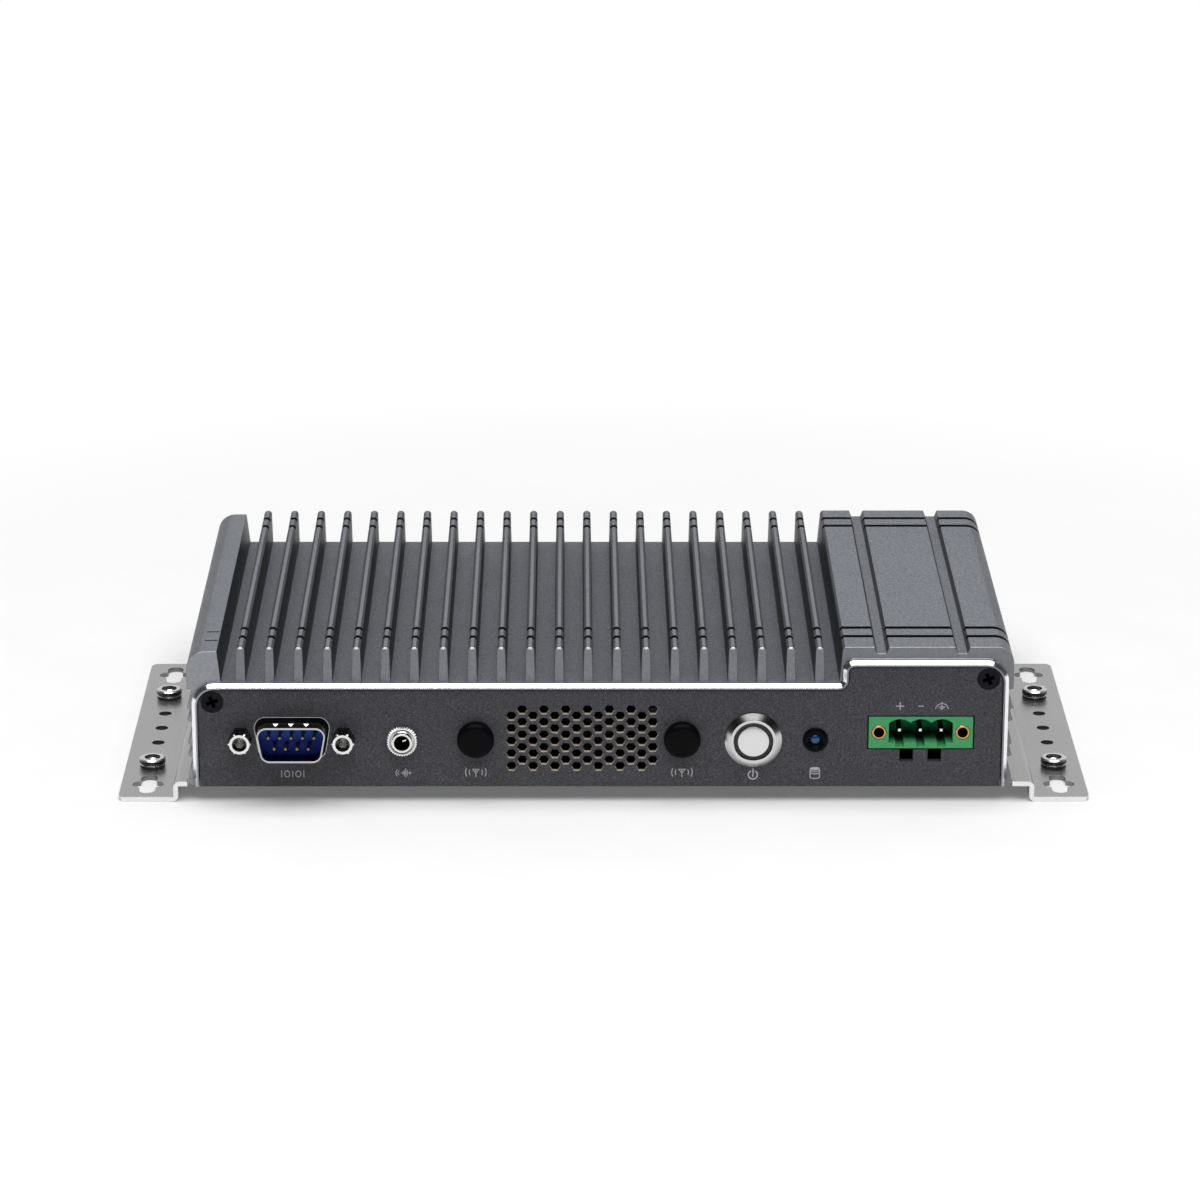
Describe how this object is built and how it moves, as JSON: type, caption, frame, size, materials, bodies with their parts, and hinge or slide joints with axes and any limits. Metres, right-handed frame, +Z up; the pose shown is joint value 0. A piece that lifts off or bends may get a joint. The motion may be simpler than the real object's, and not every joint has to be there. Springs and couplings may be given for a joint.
{
  "type": "fanless industrial pc",
  "caption": "Low fanless industrial computer with a finned cast housing, front serial, audio, supply and power button, and two wall brackets.",
  "frame": {"origin": "centre of the four wall mounting slots, on the mounting plane under the bracket flanges", "axes": "+X to the right seen from the front, along the longest side; +Y from the front panel to the rear; +Z up, away from the mounting plane"},
  "size_m": [0.2372, 0.1204, 0.0391],
  "materials": {
    "cast": "fine metallic powder coat",
    "panel": "dark matt coat",
    "cover_sheet": "zinc-plated sheet",
    "bracket": "nickel-plated sheet",
    "nut_metal": "bright plated",
    "black_screw": "black oxide",
    "steel_screw": "zinc plated",
    "board": "solder mask",
    "port_shell": "tin-plated drawn steel",
    "blue_plastic": "moulded",
    "gold": "gold plated",
    "black_plastic": "moulded",
    "plug_plastic": "smooth moulded",
    "stainless": "turned and polished",
    "light_ring": "smoked",
    "lamp_blue": "clear blue",
    "green_plastic": "moulded",
    "brass_insert": "turned",
    "shield_steel": "tin plated",
    "chip": "moulded epoxy",
    "pad": "soft",
    "spreader": "milled"
  },
  "bodies": {
    "housing": {"heatsink_cover": "cast", "front_panel": "panel", "rear_panel": "panel", "bottom_cover": "cover_sheet", "bracket_left": "bracket", "bracket_right": "bracket", "clinch_nuts": "nut_metal", "bracket_screws": "steel_screw", "bottom_screws": "steel_screw", "front_screws": "black_screw", "rear_screws": "black_screw", "board_standoffs": "brass_insert", "main_board": "board", "serial_shell": "port_shell", "serial_insulator": "blue_plastic", "serial_pins": "gold", "serial_jackscrews": "nut_metal", "audio_sleeve": "nut_metal", "audio_nut": "nut_metal", "audio_body": "black_plastic", "antenna_plug_left": "plug_plastic", "antenna_plug_right": "plug_plastic", "button_body": "stainless", "button_nut": "stainless", "lamp_holder": "black_plastic", "lamp_lens": "lamp_blue", "supply_housing": "green_plastic", "supply_pins": "steel_screw", "supply_inserts": "brass_insert", "network_shield_left": "shield_steel", "network_shield_right": "shield_steel", "network_insert_left": "black_plastic", "network_insert_right": "black_plastic", "network_contacts": "gold", "usb_shield_left": "shield_steel", "usb_shield_right": "shield_steel", "usb_tongues": "blue_plastic", "display_shield": "shield_steel", "display_tongue": "black_plastic", "processor": "chip", "thermal_pad": "pad", "heat_block": "spreader", "memory_socket": "black_plastic", "memory_module": "board", "storage_socket": "black_plastic", "storage_card": "board", "storage_post": "steel_screw", "battery_holder": "black_plastic", "battery_cell": "steel_screw", "power_coils": "chip", "power_capacitors": "steel_screw"},
    "power_button": {"button_cap": "stainless", "button_light_ring": "light_ring"}
  },
  "joints": [
    {"name": "power_button_press", "type": "slide", "parent": "housing", "child": "power_button", "axis": [0, 1, 0], "range_m": [0, 0.0016], "stiffness_N_per_m": 1000, "springref_m": -0.002}
  ]
}
